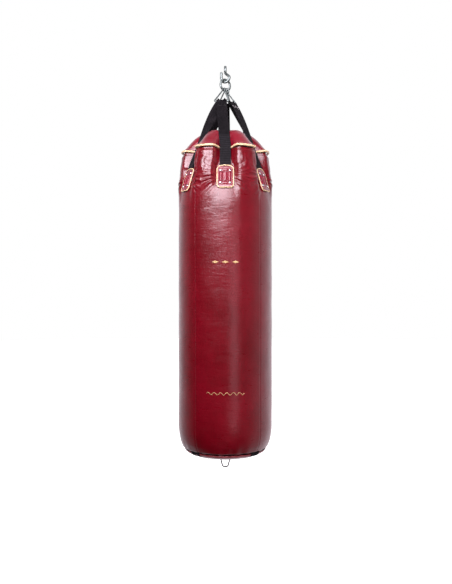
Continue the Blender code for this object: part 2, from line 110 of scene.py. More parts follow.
# Heights between which the webbing is ribbed and stands clear of the patch.
RIBBED = (1.056, 1.175)
PATCH_HALF = (0.0266, 0.0393)
PATCH_HEIGHT = WALL[9, 0]
PATCH_CORNER = 0.01
PATCH_LIFT, PATCH_THICK = 0.0051, 0.0017
PATCH_PIPING_R = 0.0021
WALL_R_AT_PATCH = 0.158
# Sewn rows of a patch, from its middle: two inner and two outer uprights and crossrows.
INNER_ROW = (0.009, 0.0195)
OUTER_ROW = (0.022, 0.0305)
RIVET_AT = (0.017, 0.02375)
RIVET_R, RIVET_RISE = 0.0045, 0.0026
# Share of the radius and of the rise, top to foot.
RIVET_PROFILE = ((0.0, 1.0), (0.3, 0.955), (0.55, 0.83), (0.78, 0.58), (0.93, 0.3), (1.0, 0.06),
                 (0.97, -0.05))
DIAMONDS_Z, WAVY_LINE_Z = -0.737, -1.2
HEAVY_THREAD_R, FINE_THREAD_R = 0.00055, 0.00035

HOOK_R, HOOK_TOP_R, HOOK_LOW_R, HOOK_LOW_Z, HOOK_YAW = 0.005, 0.015, 0.0165, -0.051, -25.0
RING_WIRE, RING_R, RING_YAW = 0.004, 0.021, 33.0
RING_Z = (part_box("hanging_ring")[0].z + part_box("hanging_ring")[1].z) / 2
LINK_WIRE, LINK_CLEARANCE, LINK_NECK = 0.0025, 0.0012, 0.0105
LINK_BAR_Z = -0.1321
LINK_BAR_HALF = 0.0285
LEG_BULGE = 0.0065
# Link, place on the ring, bar centre, bar direction, outer and inner leg, side of each wire.
LINKS = (
    ("front", -0.0085, (-0.0145, -0.032), -6.0, 0, 300, (1, 0)),
    ("right", 0.0095, (0.0265, -0.003), 50.0, 60, 120, (0, 1)),
    ("back", -0.0002, (-0.004, 0.033), 160.0, 180, 240, (0, 1)),
)
# Bands under the bag: their thickness against the legs' webbing, and the tab's width.
BAND_FLAT, TAB_WIDTH = 0.8, 0.025
TETHER_WIRE, TETHER_DROP = 0.00225, 0.015
TETHER_Z = UNDERSIDE_Z - TETHER_DROP
TETHER_TOP_HALF, TETHER_LOW_HALF, TETHER_TALL = 0.018, 0.0096, 0.0322

CAMERA_AT = (0.0026, -2.5, -0.8425)
LENS_MM = 40.85
# Name, azimuth, distance, height, size, power, height aimed at, seen in reflections.
LIGHTS = (
    ("key", -10.0, 1.9, -0.02, (1.1, 0.4), 16.0, -0.4, True),
    ("side_key", -39.0, 1.9, 0.19, (0.9, 0.45), 16.5, -0.4, True),
    ("wide_key", -14.0, 1.9, 0.48, (2.6, 0.6), 68.0, -0.4, True),
    ("high_key", -8.0, 1.5, 1.25, (1.6, 0.8), 26.0, -0.4, True),
    ("band", 20.0, 2.0, -0.95, (0.6, 1.5), 3.6, -0.95, True),
    ("low_fill", 0.0, 1.5, -2.2, (1.2, 0.6), 4.0, -1.45, False),
    ("front_fill", 50.0, 2.4, -0.85, (1.6, 2.0), 27.0, -0.85, False),
)
LIGHT_COLOR = (1.0, 0.91, 1.0)


# ---- geometry

def radial(azimuth):
    angle = math.radians(azimuth)
    return Vector((math.sin(angle), -math.cos(angle), 0.0))


def along(degrees):
    angle = math.radians(degrees)
    return Vector((math.cos(angle), math.sin(angle), 0.0))


def step(value):
    value = np.clip(value, 0.0, 1.0)
    return value * value * (3.0 - 2.0 * value)


def bell(distance, width):
    return np.exp(-((distance / width) ** 2))


def wave(azimuth, count, phase=0.0):
    """Sine with count turns round the bag; phase is in degrees."""
    return np.sin(np.radians(azimuth * count + phase))


def from_leg(azimuth):
    """Degrees from the nearest leg, -30 to 30."""
    return (azimuth + LEG_STEP / 2) % LEG_STEP - LEG_STEP / 2


def lobes(azimuth):
    """1 at a leg, 0 half-way between two, in an even wave."""
    return 0.5 + 0.5 * np.cos(np.radians(6 * azimuth))


def groove(azimuth, tight=1.0):
    """1 under a leg, 0 on the ridge between two legs; tight narrows it from patch to strap width."""
    flat, flank = 10.5 - 1.5 * tight, 8.0 - 0.2 * tight
    return 1.0 - step((np.abs(from_leg(azimuth)) - flat) / flank)


def swayback(azimuth):
    """How far the wall between two legs has sagged towards them, 1 beside a leg."""
    return lobes(azimuth) * (1.0 - groove(azimuth))


def outward(azimuth):
    """Unit vectors away from the axis."""
    angle = np.radians(azimuth)
    return np.stack([np.sin(angle), -np.cos(angle), 0 * angle], -1)


def around_axis(azimuth, radius, height):
    """Points at a radius from the axis and a height above the underside."""
    angle = np.radians(azimuth)
    return np.stack([radius * np.sin(angle), -radius * np.cos(angle), UNDERSIDE_Z + height + 0 * angle], -1)


def wall_line(height, column):
    """A column of WALL read at a height, its corners rounded over."""
    total = 0.0
    for shift, weight in ((-0.01, 0.25), (0.0, 0.5), (0.01, 0.25)):
        total = total + weight * np.interp(height + shift, WALL[:, 0], WALL[:, column])
    return total


def lumps(points, scale, seed=0.0, stretch=(1.0, 1.0, 1.0)):
    """Smooth noise from -1 to 1 at each point; scale is its size in metres."""
    flat = points.reshape(-1, 3) * (np.array(stretch) / scale) + seed
    values = np.fromiter((noise.noise(Vector(p)) for p in flat), float, len(flat))
    return values.reshape(points.shape[:-1])


def quads(rows, cols, wrap_rows, wrap_cols):
    """Faces of a grid of points, and the column and row of each face's corners."""
    i = np.arange(rows if wrap_rows else rows - 1)
    j = np.arange(cols if wrap_cols else cols - 1)
    i, j = (a.ravel() for a in np.meshgrid(i, j, indexing="ij"))
    i1, j1 = (i + 1) % rows, (j + 1) % cols
    faces = np.stack([i * cols + j, i * cols + j1, i1 * cols + j1, i1 * cols + j], -1)
    corners = np.stack([np.stack(c, -1) for c in ((j, i), (j + 1, i), (j + 1, i + 1), (j, i + 1))], 1)
    return faces, corners


def mesh_of(points, faces):
    mesh = bpy.data.meshes.new("piece")
    mesh.from_pydata(points.reshape(-1, 3).tolist(), [], faces)
    mesh.update()
    mesh.shade_smooth()
    return mesh


def grid_mesh(grid, wrap_rows=False, wrap_cols=False, across=None, down=None, ends=()):
    """Mesh through rows of points; across and down give its UVs, ends the rows that a face closes."""
    rows, cols = grid.shape[:2]
    faces, corners = quads(rows, cols, wrap_rows, wrap_cols)
    caps = {0: list(range(cols))[::-1], -1: list(range((rows - 1) * cols, rows * cols))}
    mesh = mesh_of(grid, faces.tolist() + [caps[end] for end in ends])
    if across is not None:
        layer = mesh.uv_layers.new(name="strand")
        uv = np.zeros((len(mesh.loops), 2))
        uv[: len(faces) * 4, 0] = across[corners[..., 0].ravel()]
        uv[: len(faces) * 4, 1] = down[corners[..., 1].ravel()]
        layer.data.foreach_set("uv", uv.ravel())
    return mesh


def piece(name, mesh, material, slot, *nodes, body="bag"):
    mesh.name = name
    mesh.materials.append(material)
    obj = bpy.data.objects.new(name, mesh)
    bpy.context.scene.collection.objects.link(obj)
    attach(obj, body)
    if nodes:
        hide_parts(*nodes)
    return obj


def solidify(obj, thickness):
    """Gives a sheet its thickness, inwards."""
    shell = obj.modifiers.new("thickness", "SOLIDIFY")
    shell.thickness = thickness
    shell.offset = -1.0


def smooth_path(points, steps):
    """Catmull-Rom curve through rows of numbers."""
    p = np.asarray(points, float)
    p = np.concatenate([2 * p[:1] - p[1:2], p, 2 * p[-1:] - p[-2:-1]])
    out = []
    for a, b, c, d in zip(p, p[1:], p[2:], p[3:]):
        for k in range(steps):
            t = k / steps
            out.append(0.5 * (2 * b + (c - a) * t + (2 * a - 5 * b + 4 * c - d) * t * t
                              + (3 * b - a - 3 * c + d) * t ** 3))
    out.append(p[-2])
    return np.array(out)


def lengths(points, cyclic=False):
    p = np.asarray(points, float)
    if cyclic:
        p = np.concatenate([p, p[:1]])
    runs = np.linalg.norm(np.diff(p, axis=0), axis=1)
    return np.concatenate([[0.0], np.cumsum(runs)])


def unit(vectors):
    return vectors / np.linalg.norm(vectors, axis=-1, keepdims=True)


def tangents(p, cyclic):
    return unit(np.roll(p, -1, 0) - np.roll(p, 1, 0) if cyclic else np.gradient(p, axis=0))


def frames(p, across=None, cyclic=False):
    """Tangent, sideways and up vectors along a path."""
    t = tangents(p, cyclic)
    if across is None:
        side = np.cross(t[0], (0.3, 0.5, 0.81))
        sides = []
        for direction in t:
            side = unit(side - direction * np.dot(side, direction))
            sides.append(side)
        across = np.array(sides)
        if cyclic:
            back = across[-1] - t[0] * np.dot(across[-1], t[0])
            up = np.cross(t[0], across[0])
            slip = math.atan2(np.dot(back, up), np.dot(back, across[0]))
            turn = -slip * np.arange(len(p)) / len(p)
            across = across * np.cos(turn)[:, None] + np.cross(t, across) * np.sin(turn)[:, None]
    x = unit(across - t * np.sum(across * t, axis=1, keepdims=True))
    return t, x, np.cross(t, x)


def sweep(path, section, across=None, cyclic=False, scale=None, bend=None, ribs=None):
    """Section (m, 2) drawn along a path; bend curves it across, ribs thickens it."""
    p = np.asarray(path, float)
    _, x, y = frames(p, across, cyclic)
    s = np.tile(section, (len(p), 1, 1))
    if scale is not None:
        s *= scale[:, None, None]
    if ribs is not None:
        s[..., 1] += ribs[:, None] * np.sign(s[..., 1]) * (np.abs(s[..., 1]) > 1e-5)
    if bend is not None:
        s[..., 1] -= bend[:, None] * s[..., 0] ** 2 / 2
    grid = p[:, None] + x[:, None] * s[..., :1] + y[:, None] * s[..., 1:]
    around = lengths(section, cyclic=True)
    run = lengths(p, cyclic)
    run = run if cyclic else np.append(run, run[-1])
    return grid_mesh(grid, cyclic, True, around, run, ends=() if cyclic else (0, -1))


def circle(radius, sides):
    angles = 2 * np.pi * np.arange(sides) / sides
    return np.stack([radius * np.cos(angles), radius * np.sin(angles)], -1)


def rounded_tips(path, radius):
    """Path and scale with a domed end added at each tip."""
    p = np.asarray(path, float)
    t = tangents(p, False)
    turns = np.radians((25, 50, 70, 84))
    head = [p[0] - t[0] * radius * math.sin(a) for a in turns[::-1]]
    tail = [p[-1] + t[-1] * radius * math.sin(a) for a in turns]
    scale = [math.cos(a) for a in turns]
    return np.concatenate([head, p, tail]), np.array(scale[::-1] + [1.0] * len(p) + scale)


def round_corners(corners, radii, steps):
    """Closed outline through corners, each rounded by its own radius."""
    points = []
    for i, corner in enumerate(corners):
        back = (corners[i - 1] - corner).normalized()
        ahead = (corners[(i + 1) % len(corners)] - corner).normalized()
        half = back.angle(ahead) / 2
        centre = corner + (back + ahead).normalized() * radii[i] / math.sin(half)
        start = corner + back * radii[i] / math.tan(half) - centre
        end = corner + ahead * radii[i] / math.tan(half) - centre
        for k in range(steps + 1):
            points.append(tuple(centre + start.lerp(end, k / steps).normalized() * radii[i]))
    return points


def evenly(points, count):
    """The same closed line with count evenly spaced points."""
    p = np.asarray(points, float)
    run = lengths(p, cyclic=True)
    p = np.concatenate([p, p[:1]])
    at = np.linspace(0, run[-1], count, endpoint=False)
    return np.stack([np.interp(at, run, p[:, k]) for k in range(p.shape[1])], -1)


def stitches(laid, radius, sink=0.9):
    """Stitches, each laid as start, end and normal: a bent capsule whose tips dive under."""
    a, b, n = (np.array(v, float) for v in zip(*laid))
    t = unit(b - a)
    n = unit(n - t * np.sum(n * t, axis=1, keepdims=True))
    side = np.cross(n, t)
    share = np.array((0.0, 0.12, 0.35, 0.65, 0.88, 1.0))
    thick = np.array((0.35, 0.85, 1.0, 1.0, 0.85, 0.35)) * radius
    lift = (np.array((0.0, 0.8, 1.1, 1.1, 0.8, 0.0)) - sink * 0.4) * radius
    angles = 2 * np.pi * np.arange(6) / 6
    centre = a[:, None] + (b - a)[:, None] * share[:, None] + n[:, None] * lift[:, None]
    ring = side[:, None, None] * np.cos(angles)[:, None] + n[:, None, None] * np.sin(angles)[:, None]
    verts = centre[:, :, None] + ring * thick[:, None, None]
    count, rows, cols = verts.shape[:3]
    one = quads(rows, cols, False, True)[0][:, ::-1]
    every = (one[None] + (np.arange(count) * rows * cols)[:, None, None]).reshape(-1, 4).tolist()
    for first in range(0, count * rows * cols, rows * cols):
        every.append(list(range(first, first + cols)))
        every.append(list(range(first + (rows - 1) * cols, first + rows * cols))[::-1])
    return mesh_of(verts, every)


# ---- materials

class Shader:
    """Short way to lay out the nodes of a material or world."""

    def __init__(self, name, world=False):
        self.owner = (bpy.data.worlds if world else bpy.data.materials).new(name)
        self.owner.use_nodes = True
        self.tree = self.owner.node_tree
        self.main = self.tree.nodes["Background" if world else "Principled BSDF"]

    def add(self, kind, values=None, **settings):
        node = self.tree.nodes.new("ShaderNode" + kind)
        for key, value in settings.items():
            setattr(node, key, value)
        for key, value in (values or {}).items():
            self.put(node.inputs[key], value)
        return node

    def put(self, socket, value):
        if isinstance(value, bpy.types.NodeSocket):
            self.tree.links.new(value, socket)
        else:
            socket.default_value = value

    def math(self, operation, a, b=0.0, c=0.0):
        node = self.add("Math", {0: a, 1: b, 2: c}, operation=operation)
        return node.outputs[0]

    def times(self, a, b):
        return self.math("MULTIPLY", a, b)

    def noise(self, where, scale, detail=3.0, roughness=0.5):
        node = self.add("TexNoise", {"Vector": where, "Scale": scale, "Detail": detail,
                                     "Roughness": roughness})
        return node.outputs["Fac"]

    def ramp(self, value, low, high, out_low=0.0, out_high=1.0):
        node = self.add("MapRange", {"Value": value, "From Min": low, "From Max": high,
                                     "To Min": out_low, "To Max": out_high})
        return node.outputs["Result"]

    def mix(self, share, a, b):
        node = self.add("Mix", {"Factor": share}, data_type="RGBA")
        self.put(node.inputs[6], a)
        self.put(node.inputs[7], b)
        return node.outputs[2]

    def stretched(self, where, scale):
        return self.add("Mapping", {"Vector": where, "Scale": scale}).outputs["Vector"]

    def bump(self, height, distance, strength=1.0, normal=None):
        node = self.add("Bump", {"Height": height, "Distance": distance, "Strength": strength})
        if normal is not None:
            self.put(node.inputs["Normal"], normal)
        return node.outputs["Normal"]

    def place(self):
        return self.add("TexCoord").outputs["Object"]

    def strand(self):
        return self.add("UVMap", uv_map="strand").outputs["UV"]

    def finish(self, **values):
        for key, value in values.items():
            self.put(self.main.inputs[key.replace("_", " ")], value)
        return self.owner


def rgb(red, green, blue):
    return (red, green, blue, 1.0)


def leather(name, dark, light, grain=520.0, rough=(0.25, 0.37), coat=0.6):
    """Dyed hide: cloudy tone, pebble grain in darker valleys, pores, long soft creases."""
    s = Shader(name)
    at = s.place()
    cloud = s.noise(at, scale=7.0, detail=4.0, roughness=0.55)
    fine = s.noise(at, scale=55.0)
    pebble = s.add("TexVoronoi", {"Vector": at, "Scale": grain, "Smoothness": 0.6},
                   feature="SMOOTH_F1").outputs["Distance"]
    pores = s.noise(at, scale=1900.0, detail=2.0)
    streak = s.noise(s.stretched(at, (22.0, 22.0, 85.0)), scale=1.0, detail=4.0, roughness=0.6)
    crease = s.noise(s.stretched(at, (60.0, 60.0, 210.0)), scale=1.0, roughness=0.55)
    uneven = s.math("ADD", cloud, s.times(fine, 0.25))
    tone = s.mix(s.ramp(uneven, 0.42, 0.8), dark, light)
    valley = [channel * 0.55 for channel in dark[:3]] + [1.0]
    tone = s.mix(s.ramp(pebble, 0.25, 0.75, out_high=0.25), tone, valley)
    worn = s.math("ADD", streak, s.times(pores, 0.3))
    normal = s.bump(streak, distance=0.0009, strength=0.8)
    normal = s.bump(crease, distance=0.00028, strength=0.8, normal=normal)
    normal = s.bump(s.times(pebble, -1.0), distance=0.00022, strength=0.75, normal=normal)
    normal = s.bump(pores, distance=0.00005, strength=0.6, normal=normal)
    return s.finish(Base_Color=tone, Roughness=s.ramp(worn, 0.35, 0.95, *rough), Normal=normal,
                    Coat_Weight=coat, Coat_Roughness=0.235, Coat_Normal=normal,
                    Specular_IOR_Level=0.36)


def piping_leather(name):
    """Pale hide pulled round a cord, with fine pleats across it."""
    s = Shader(name)
    run = s.add("SeparateXYZ", {"Vector": s.strand()}).outputs["Y"]
    cloud = s.noise(s.place(), scale=90.0)
    drift = s.times(cloud, 0.01)
    pleat = s.math("SINE", s.times(s.math("ADD", run, drift), 620.0))
    tone = s.mix(s.ramp(cloud, 0.3, 0.75), rgb(0.54, 0.36, 0.18), rgb(0.82, 0.66, 0.42))
    tone = s.mix(s.ramp(pleat, -1.0, 1.0, out_high=0.18), tone, rgb(0.4, 0.22, 0.09))
    grain = s.noise(s.place(), scale=1400.0, detail=2.0)
    normal = s.bump(pleat, distance=0.00025, strength=0.7)
    normal = s.bump(grain, distance=0.00012, strength=0.6, normal=normal)
    return s.finish(Base_Color=tone, Roughness=s.ramp(grain, 0.2, 0.8, 0.36, 0.55), Normal=normal,
                    Coat_Weight=0.15, Coat_Roughness=0.3)


def webbing(name, pitch):
    """Woven tape: twill yarns pitch apart, pale patches of wear, and a painted highlight on the rib crests
    of its upper stretch.
    """
    s = Shader(name)
    run = s.add("SeparateXYZ", {"Vector": s.strand()})
    across, down = run.outputs["X"], run.outputs["Y"]
    turn = math.pi / pitch
    zigzag = s.math("SUBTRACT", s.math("MODULO", across, pitch * 8), pitch * 4)
    slant = s.times(s.math("ABSOLUTE", zigzag), turn)
    warp = s.math("ABSOLUTE", s.math("SINE", s.times(across, turn)))
    weft = s.math("SINE", s.math("ADD", s.times(down, turn * 0.9), slant))
    yarn = s.times(warp, s.math("ADD", s.times(weft, 0.5), 0.6))
    fuzz = s.noise(s.place(), scale=900.0)
    wear = s.noise(s.place(), scale=26.0, detail=4.0)
    tone = s.mix(s.ramp(yarn, 0.0, 1.0), rgb(0.0025, 0.0022, 0.0027), rgb(0.0075, 0.0066, 0.008))
    tone = s.mix(s.ramp(wear, 0.45, 0.8, out_high=0.35), tone, rgb(0.024, 0.02, 0.023))
    # Painted highlight: the rib crests between the RIBBED heights are coloured lighter, as if lit from
    # above.
    rib = s.math("ABSOLUTE", s.math("SINE", s.times(down, math.pi / RIB_PITCH)))
    level = s.add("SeparateXYZ", {"Vector": s.place()}).outputs["Z"]
    low, high = (UNDERSIDE_Z + height for height in RIBBED)
    ribbed = s.times(s.ramp(level, low - 0.004, low), s.ramp(level, high + 0.012, high))
    rib_crest_highlight = s.times(s.ramp(rib, 0.45, 0.95), ribbed)
    tone = s.mix(rib_crest_highlight, tone, rgb(0.015, 0.014, 0.016))
    normal = s.bump(yarn, distance=0.0005, strength=0.9)
    normal = s.bump(fuzz, distance=0.0001, strength=0.5, normal=normal)
    return s.finish(Base_Color=tone, Roughness=s.ramp(fuzz, 0.2, 0.8, 0.68, 0.9), Normal=normal,
                    Specular_IOR_Level=0.08, Sheen_Weight=0.01, Sheen_Roughness=0.5)


def thread(name, dark, light):
    """Twisted sewing thread."""
    s = Shader(name)
    fibre = s.noise(s.place(), scale=1500.0)
    ply = s.add("TexWave", {"Vector": s.place(), "Scale": 420.0, "Distortion": 2.0}).outputs["Fac"]
    tone = s.mix(s.ramp(s.times(fibre, ply), 0.1, 0.5), dark, light)
    return s.finish(Base_Color=tone, Roughness=s.ramp(fibre, 0.2, 0.8, 0.4, 0.6),
                    Normal=s.bump(ply, distance=0.0001, strength=0.6), Sheen_Weight=0.2)


def steel(name, dark, light, rough, dents=0.0004):
    """Bare or plated steel: spangle, dull patches, fine scratches."""
    s = Shader(name)
    at = s.place()
    spangle = s.add("TexVoronoi", {"Vector": at, "Scale": 260.0}).outputs["Distance"]
    cloud = s.noise(at, scale=120.0, detail=4.0)
    scratch = s.noise(s.stretched(at, (2600.0, 2600.0, 300.0)), scale=1.0, detail=2.0)
    wear = s.math("ADD", s.times(cloud, 0.75), s.times(spangle, 0.35))
    tone = s.mix(s.ramp(wear, 0.3, 0.75), dark, light)
    normal = s.bump(cloud, distance=dents, strength=0.8)
    normal = s.bump(scratch, distance=0.00004, strength=0.5, normal=normal)
    return s.finish(Base_Color=tone, Metallic=1.0, Roughness=s.ramp(wear, 0.3, 0.8, *rough),
                    Normal=normal)


def stuffing(name, dark, light, scale):
    """Loose tufts of foam or rag."""
    s = Shader(name)
    tuft = s.noise(s.place(), scale=scale, detail=5.0, roughness=0.7)
    return s.finish(Base_Color=s.mix(s.ramp(tuft, 0.35, 0.7), dark, light),
                    Roughness=s.ramp(tuft, 0.2, 0.8, 0.8, 0.98),
                    Normal=s.bump(tuft, distance=0.002, strength=0.8))


WALL_LEATHER = leather("burgundy_wall_leather", rgb(0.094, 0.0003, 0.003), rgb(0.143, 0.0012, 0.0068))
# Crown leather: a lighter copy of the wall leather, painted lighter for the light falling on the top of the
# bag.
TOPLIT_CAP_LEATHER = leather("burgundy_cap_leather_painted_toplight", rgb(0.12, 0.0015, 0.007), rgb(0.185, 0.004, 0.015))
# Base leather: a lighter, pinker copy of the wall leather, painted light for the light bounced up onto the
# underside.
UNDERLIT_BASE_LEATHER = leather("burgundy_base_leather_painted_bounce", rgb(0.2, 0.016, 0.024), rgb(0.3, 0.045, 0.055))
# Near-black welt leather: painted shade for the dark slit where the wall's edge meets the base.
SLIT_SHADE_LEATHER = leather("welt_painted_slit_shade", rgb(0.018, 0.001, 0.002), rgb(0.04, 0.002, 0.004),
                       rough=(0.6, 0.8), coat=0.0)
# Patch leather: lighter than the wall leather, a painted highlight for the light on its padded bars.
LIGHTENED_PATCH_LEATHER = leather("patch_hide_painted_highlight", rgb(0.125, 0.002, 0.009), rgb(0.21, 0.008, 0.024),
                        grain=700.0, rough=(0.18, 0.28), coat=1.0)
CREAM = piping_leather("cream_piping_hide")
BLACK_WEB = webbing("black_polyester_webbing", pitch=0.0016)
ZINC = steel("zinc_plated_wire", rgb(0.105, 0.13, 0.124), rgb(0.3, 0.35, 0.335), (0.46, 0.62))
BRIGHT = steel("polished_rivet_dome", rgb(0.7, 0.71, 0.73), rgb(0.92, 0.92, 0.93), (0.1, 0.22), 0.0001)
GREY_STEEL = steel("grey_ring_wire", rgb(0.025, 0.024, 0.022), rgb(0.09, 0.087, 0.08), (0.5, 0.7))
BLACK_THREAD = thread("black_thread", rgb(0.004, 0.004, 0.004), rgb(0.02, 0.02, 0.02))
RED_THREAD = thread("burgundy_thread", rgb(0.05, 0.003, 0.008), rgb(0.14, 0.01, 0.02))
PALE_THREAD = thread("pale_thread", rgb(0.34, 0.32, 0.31), rgb(0.72, 0.7, 0.68))
GOLD_THREAD = thread("gold_thread", rgb(0.42, 0.25, 0.09), rgb(0.85, 0.62, 0.3))
FOAM = stuffing("wrapped_foam", rgb(0.5, 0.48, 0.43), rgb(0.7, 0.68, 0.62), 300.0)
TEXTILE = stuffing("shredded_textile", rgb(0.12, 0.11, 0.12), rgb(0.48, 0.44, 0.42), 45.0)


# ---- leather body

def crease_fan(azimuth, height):
    """Folds that fan out sideways and down from each patch, where the leg pulls the wall in."""
    off = from_leg(azimuth)
    leg = np.round((azimuth - off) / LEG_STEP)
    x = np.radians(off) * 0.165
    y = height - (PATCH_HEIGHT + 0.012)
    far = np.hypot(x, y / 1.15)
    turn = np.degrees(np.arctan2(y, np.abs(x)))
    seed = np.where(x < 0, 1.0, 2.3) + leg * 1.7
    wobble = 7.0 * np.sin(turn * 0.11 + seed * 2.1)
    wobble = wobble + 30.0 * np.clip(far - 0.03, 0, 1) * np.sin(seed * 5)
    waves = wave(turn + wobble, 17.0) + 0.6 * wave(turn - wobble, 29.0, seed * 80)
    waves = waves + 0.35 * wave(turn + 2 * wobble, 47.0, seed * 33)
    reach = step((far - 0.024) / 0.012) * (1.0 - step((far - 0.052) / 0.06))
    return CREASE_DEPTH * waves * reach * bell(turn + 14.0, 33.0)


def rim_gathers(azimuth, height):
    """Small upright tucks below the rim seam and above the bottom seam."""
    top = bell(height - RIM + 0.002, 0.03) * (1.0 - groove(azimuth))
    tucks = wave(azimuth, 21, 50.0 * wave(azimuth, 3))
    tucks = tucks * (0.6 + 0.4 * wave(azimuth, 7, height * 2500.0))
    low = bell(height - HEM - 0.0005, 0.03)
    folds = wave(azimuth, 26, 70.0 * wave(azimuth, 5)) * (0.5 + 0.5 * wave(azimuth, 4, 40.0))
    return RIM_TUCK * top * tucks + HEM_TUCK * low * folds


def wall_radius(azimuth, height):
    ridge, under = wall_line(height, 1), wall_line(height, 2)
    mix = groove(azimuth, step((height - RIBBED[0]) / 0.02))
    radius = ridge * (1.0 - mix) + under * mix
    radius = radius - SAG * swayback(azimuth) * step((height - SAG_FROM) / SAG_RISE)
    for (middle, width, depth), share in ((RIM_GUTTER, 0.5 * mix - 1.0), (RIM_ROLL, 1.0 - mix)):
        radius = radius + depth * bell(height - middle, width) * share
    radius = radius - 0.003 * step((HEM + 0.004 - height) / 0.005)
    return radius + crease_fan(azimuth, height) + rim_gathers(azimuth, height)


def seam_dip(azimuth):
    """Valley and low shoulders of the upright seams."""
    total = 0.0
    for seam in SEAMS:
        off = np.abs((azimuth - seam + 180.0) % 360.0 - 180.0) * math.radians(1.0) * BODY_R
        total = total - 0.0003 * bell(off, 0.0016) + 0.0002 * bell(off - 0.006, 0.0045)
    return total


def wall_grid(azimuths, heights, lift=0.0):
    azimuth, height = np.meshgrid(azimuths, heights)
    hem = wave(azimuth, 17) + wave(azimuth, 29, 60.0)
    height = height + HEM_WAVE * hem * bell(height - HEM, 0.006)
    radius = wall_radius(azimuth, height) + seam_dip(azimuth) + lift
    points = around_axis(azimuth, radius, height)
    swell = sum(depth * lumps(points, *how) for depth, *how in WALL_SWELL)
    flank = step((height - 1.035) / 0.03) * step((1.122 - height) / 0.01)
    swell = swell + flank * FLANK_SWELL[0] * lumps(points, *FLANK_SWELL[1:])
    calm = 1.0 - 0.6 * groove(azimuth) * step((height - 0.95) / 0.05)
    return points + outward(azimuth) * (swell * calm)[..., None]


def make_wall():
    heights = np.concatenate([np.arange(HEM, 0.12, 0.003), np.arange(0.12, 0.88, 0.0075),
                              np.arange(0.88, RIM, 0.0028)])
    edge = np.array((0.0, 0.22, 0.45, 0.7, 1.0, 1.35, 1.8, 2.4))
    half_gap = 0.05
    for i, name in enumerate(PANELS):
        start = SEAMS[i] + half_gap
        end = SEAMS[(i + 1) % 4] + (360.0 if i == 3 else 0.0) - half_gap
        inner = np.arange(start + 3.4, end - 3.0, 1.05)
        azimuths = np.concatenate([start + edge, inner, end - edge[::-1]])
        mesh = grid_mesh(wall_grid(azimuths, heights))
        obj = piece("wall_" + name, mesh, WALL_LEATHER, "burgundy_leather", name)
        solidify(obj, LEATHER)


def make_crown():
    azimuths = np.arange(0.0, 360.0, 1.25)
    t = np.concatenate([np.linspace(0.0, 0.35, 26), np.linspace(0.38, 1.0, 34)])[:, None]
    line = smooth_path(CROWN, 12)
    ridge_r, ridge_h, under_r, under_h = (
        np.interp(t, np.linspace(0.0, 1.0, len(line)), line[:, k]) for k in range(4)
    )
    share = step(t / 0.45)
    mix = groove(azimuths) * (1.0 - share) + lobes(azimuths) * share
    radius = ridge_r * (1 - mix) + under_r * mix - SAG * swayback(azimuths) * (1.0 - share)
    flare = bell(t, 0.06)
    height = ridge_h * (1 - mix) + under_h * mix - 0.004 * flare * mix + 0.001 * flare * (1 - mix)
    pull = wave(azimuths, 19, 60.0 * wave(azimuths, 4))
    height = height + CROWN_TUCK * pull * bell(t - 0.05, 0.13) * (1 - 0.5 * mix)
    dent = bell(np.abs(from_leg(azimuths)) - 17.0, 4.0) * bell(t - 0.2, 0.18)
    points = around_axis(azimuths, radius, height - 0.001 * dent)
    points[..., 2] += 0.0011 * lumps(points, 0.06, 5.0) + 0.0006 * lumps(points, 0.022, 9.0)
    mesh = grid_mesh(points, wrap_cols=True, ends=(-1,))
    obj = piece("crown", mesh, TOPLIT_CAP_LEATHER, "burgundy_leather", "top_cap")
    solidify(obj, LEATHER)


def make_rim_piping():
    azimuths = np.arange(0.0, 360.0, 1.0)
    mix = groove(azimuths)
    radius = PIPING_RIDGE[0] * (1 - mix) + PIPING_GROOVE[0] * mix - SAG * swayback(azimuths)
    height = PIPING_RIDGE[1] * (1 - mix) + PIPING_GROOVE[1] * mix
    path = around_axis(azimuths, radius, height + 0.0008 * wave(azimuths, 6, 35.0) * (1 - mix))
    path = path + 0.0005 * np.stack([lumps(path, 0.02, k) for k in (1.0, 31.0, 61.0)], -1)
    scale = 1.0 + 0.07 * lumps(path, 0.018, 17.0)
    section = circle(PIPING_R * 1.04, 18)
    section[:, 1] *= 1.0 - 0.14 * bell(section[:, 1] + 0.0002, 0.0011)
    section[:, 0] -= 0.0007 * bell(section[:, 1] + 0.0006, 0.0008) * (section[:, 0] > 0)
    mesh = sweep(path, section, outward(azimuths), True, scale)
    piece("rim_cord", mesh, CREAM, "cream_piping", "rim_piping")


def make_inside():
    """Foam sleeve and packed textile, inside the leather."""
    heights = np.linspace(0.045, 1.088, 60)
    outer = wall_line(heights, 2) - FOAM_INSET
    azimuths = np.arange(96) * 3.75
    radius = np.concatenate([outer, (outer - FOAM_THICK)[::-1]])[:, None]
    height = np.concatenate([heights, heights[::-1]])[:, None]
    mesh = grid_mesh(around_axis(azimuths, radius, height), True, True)
    foam = piece("foam_lining", mesh, FOAM, "lining_foam", "foam_sleeve")
    profile = smooth_path(np.concatenate([
        [(0.001, 0.0075), (0.055, 0.009), (0.108, 0.017)],
        np.stack([outer[1:-1] - FILLING_INSET, heights[1:-1]], -1),
        [(0.1, 1.134), (0.075, 1.17), (0.045, 1.19), (0.001, 1.198)],
    ]), 2)
    points = around_axis(azimuths, profile[:, :1], profile[:, 1:])
    points[..., :2] *= 1.0 - 0.01 * lumps(points, 0.03, 2.0)[..., None]
    mesh = grid_mesh(points, wrap_cols=True, ends=(0, -1))
    core = piece("packed_textile", mesh, TEXTILE, "textile_filling", "packed_filling")


